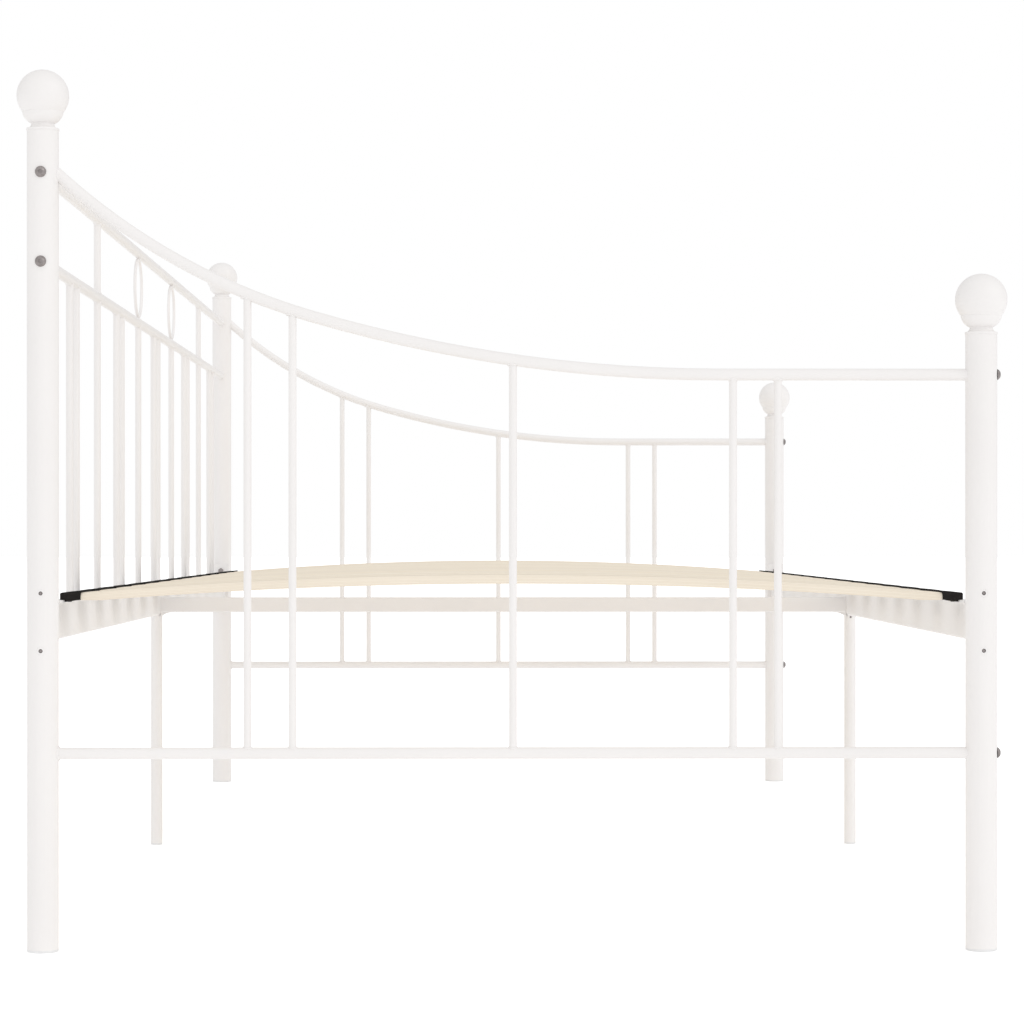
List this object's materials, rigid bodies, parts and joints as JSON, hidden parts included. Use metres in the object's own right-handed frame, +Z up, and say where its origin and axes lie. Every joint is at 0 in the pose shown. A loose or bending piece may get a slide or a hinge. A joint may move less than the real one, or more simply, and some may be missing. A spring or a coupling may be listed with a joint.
{
  "type": "daybed",
  "caption": "Metal daybed frame with ball-topped posts, spindle ends and back railing, and bent wooden slats for a single mattress.",
  "frame": {"origin": "centre of the footprint, on the floor", "axes": "+X along the bed's length from the left end to the right end, seen from the open front; +Y towards the tall back railing; +Z up"},
  "size_m": [2.1026, 1.0026, 0.8908],
  "materials": {
    "white_steel": "fine-textured semi-gloss powder coat",
    "finial_white": "semi-gloss powder coat",
    "white_plastic": "moulded",
    "birch": "laminated birch, lightly sanded, clear matt lacquer",
    "black_plastic": "moulded, satin",
    "dark_zinc": "dark zinc plated"
  },
  "bodies": {
    "root": {"back_post_left": "white_steel", "back_post_right": "white_steel", "front_post_left": "white_steel", "front_post_right": "white_steel", "back_finial_left": "finial_white", "back_finial_right": "finial_white", "front_finial_left": "finial_white", "front_finial_right": "finial_white", "post_feet": "white_plastic", "end_top_rail_left": "white_steel", "end_top_rail_right": "white_steel", "end_bottom_rail_left": "white_steel", "end_bottom_rail_right": "white_steel", "end_spindles_left": "white_steel", "end_spindles_right": "white_steel", "railing_upper_rail": "white_steel", "railing_lower_rail": "white_steel", "railing_single_spindles": "white_steel", "railing_pair_spindles": "white_steel", "railing_struts": "white_steel", "railing_rings": "white_steel", "side_rail_back": "white_steel", "side_rail_front": "white_steel", "slat_ledge_back": "white_steel", "slat_ledge_front": "white_steel", "rail_end_plates": "white_steel", "crossbeam": "white_steel", "beam_gussets": "white_steel", "support_leg_back": "white_steel", "support_leg_front": "white_steel", "leg_spigots": "white_steel", "panel_inserts": "dark_zinc", "panel_bolts": "dark_zinc", "railing_inserts": "dark_zinc", "railing_bolts": "dark_zinc", "side_rail_bolts": "dark_zinc", "side_rail_bushes": "white_steel", "beam_inserts": "dark_zinc", "beam_bolts": "dark_zinc", "leg_screws": "dark_zinc", "leg_feet": "white_plastic", "slat_caps_back": "black_plastic", "slat_caps_front": "black_plastic", "slat_01": "birch", "slat_02": "birch", "slat_03": "birch", "slat_04": "birch", "slat_05": "birch", "slat_06": "birch", "slat_07": "birch", "slat_08": "birch", "slat_09": "birch", "slat_10": "birch", "slat_11": "birch", "slat_12": "birch", "slat_13": "birch", "slat_14": "birch"}
  },
  "joints": []
}
